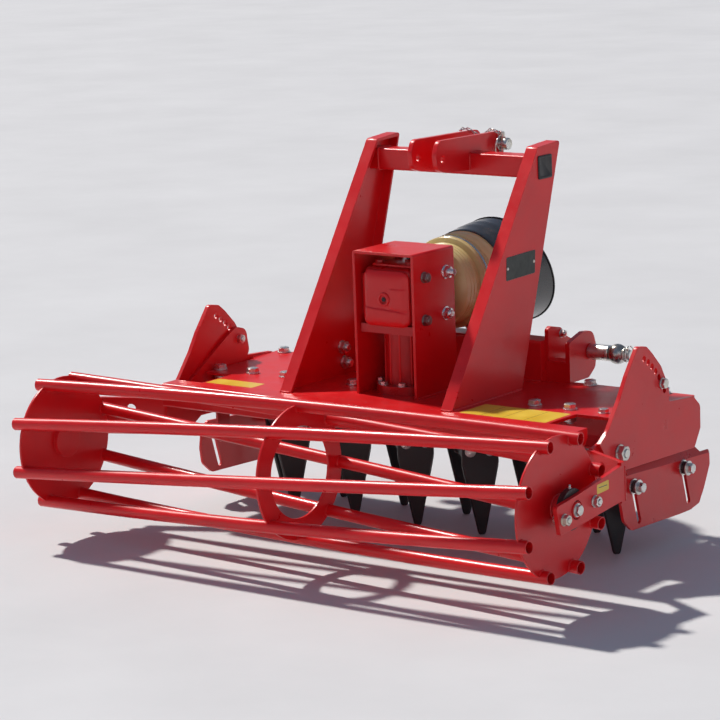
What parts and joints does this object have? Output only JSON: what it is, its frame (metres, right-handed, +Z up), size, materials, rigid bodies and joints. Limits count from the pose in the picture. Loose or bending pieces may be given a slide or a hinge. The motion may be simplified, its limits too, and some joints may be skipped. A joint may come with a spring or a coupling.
{
  "type": "power harrow",
  "caption": "Tractor-mounted power harrow with upright tine rotors under a gear trough, a three-point headstock, a cage roller on adjustable arms and sliding side deflectors.",
  "frame": {"origin": "middle of the bounding box, on the ground that the tine tips stand on", "axes": "+X to the machine's right and along the roller, +Y forward to the tractor, +Z up"},
  "size_m": [1.742, 1.2489, 1.0648],
  "materials": {
    "red_paint": "glossy red enamel",
    "zinc_plated": "zinc plated",
    "black_plastic": "glossy black",
    "straw_plastic": "satin straw yellow",
    "bright_steel": "machined, greased",
    "dark_cast": "black painted casting",
    "black_steel": "black painted forging"
  },
  "bodies": {
    "frame": {"gear_trough": "red_paint", "deck_plate": "red_paint", "side_tie_blocks": "red_paint", "rear_beam": "red_paint", "side_plate_right": "red_paint", "side_plate_left": "red_paint", "deflector_spacers": "red_paint", "deflector_bolts": "zinc_plated", "upright_right": "red_paint", "upright_left": "red_paint", "crossbar": "red_paint", "crossbar_caps": "black_plastic", "top_link_ears": "red_paint", "top_link_pin": "zinc_plated", "hitch_beam": "red_paint", "hitch_lugs": "red_paint", "lower_link_pins": "zinc_plated", "lower_link_balls": "zinc_plated", "gearbox_bracket": "red_paint", "gearbox": "red_paint", "gearbox_rear_cover": "red_paint", "input_guard": "straw_plastic", "input_guard_mouth": "black_plastic", "roller_pivot_bolts": "zinc_plated"},
    "rotor_1": {"rotor_1": "dark_cast", "tines_1": "black_steel"},
    "rotor_2": {"rotor_2": "dark_cast", "tines_2": "black_steel"},
    "rotor_3": {"rotor_3": "dark_cast", "tines_3": "black_steel"},
    "rotor_4": {"rotor_4": "dark_cast", "tines_4": "black_steel"},
    "rotor_5": {"rotor_5": "dark_cast", "tines_5": "black_steel"},
    "rotor_6": {"rotor_6": "dark_cast", "tines_6": "black_steel"},
    "pto_shaft": {"input_shaft": "bright_steel"},
    "roller_frame": {"roller_arm_right": "red_paint", "roller_arm_left": "red_paint", "roller_bearings": "dark_cast", "quadrant_pins": "zinc_plated"},
    "roller": {"roller_tubes": "red_paint", "roller_ends": "red_paint", "roller_ring": "red_paint"},
    "deflector_right": {"deflector_right": "red_paint"},
    "deflector_left": {"deflector_left": "red_paint"}
  },
  "joints": [
    {"name": "rotor_1_turn", "type": "hinge", "parent": "frame", "child": "rotor_1", "pos_m": [-0.54, 0.21637, 0.27], "axis": [0, 0, 1], "continuous": true},
    {"name": "rotor_2_turn", "type": "hinge", "parent": "frame", "child": "rotor_2", "pos_m": [-0.324, 0.21637, 0.27], "axis": [0, 0, 1], "continuous": true},
    {"name": "rotor_3_turn", "type": "hinge", "parent": "frame", "child": "rotor_3", "pos_m": [-0.108, 0.21637, 0.27], "axis": [0, 0, 1], "continuous": true},
    {"name": "rotor_4_turn", "type": "hinge", "parent": "frame", "child": "rotor_4", "pos_m": [0.108, 0.21637, 0.27], "axis": [0, 0, 1], "continuous": true},
    {"name": "rotor_5_turn", "type": "hinge", "parent": "frame", "child": "rotor_5", "pos_m": [0.324, 0.21637, 0.27], "axis": [0, 0, 1], "continuous": true},
    {"name": "rotor_6_turn", "type": "hinge", "parent": "frame", "child": "rotor_6", "pos_m": [0.54, 0.21637, 0.27], "axis": [0, 0, 1], "continuous": true},
    {"name": "input_shaft_turn", "type": "hinge", "parent": "frame", "child": "pto_shaft", "pos_m": [0, 0.26737, 0.66], "axis": [0, 1, 0], "continuous": true},
    {"name": "roller_depth", "type": "hinge", "parent": "frame", "child": "roller_frame", "pos_m": [0, -0.02663, 0.318], "axis": [1, 0, 0], "range_deg": [-5.27, 26.35]},
    {"name": "roller_turn", "type": "hinge", "parent": "roller_frame", "child": "roller", "pos_m": [0, -0.43263, 0.27], "axis": [1, 0, 0], "continuous": true},
    {"name": "deflector_right_slide", "type": "slide", "parent": "frame", "child": "deflector_right", "axis": [0, -0.276, 0.9611], "range_m": [0, 0.098]},
    {"name": "deflector_left_slide", "type": "slide", "parent": "frame", "child": "deflector_left", "axis": [0, -0.276, 0.9611], "range_m": [0, 0.098]}
  ],
  "couplings": [
    {"joint": "rotor_2_turn", "follows": "rotor_1_turn", "ratio": -1},
    {"joint": "rotor_3_turn", "follows": "rotor_1_turn", "ratio": 1},
    {"joint": "rotor_4_turn", "follows": "rotor_1_turn", "ratio": -1},
    {"joint": "rotor_5_turn", "follows": "rotor_1_turn", "ratio": 1},
    {"joint": "rotor_6_turn", "follows": "rotor_1_turn", "ratio": -1},
    {"joint": "input_shaft_turn", "follows": "rotor_1_turn", "ratio": 1.8}
  ]
}
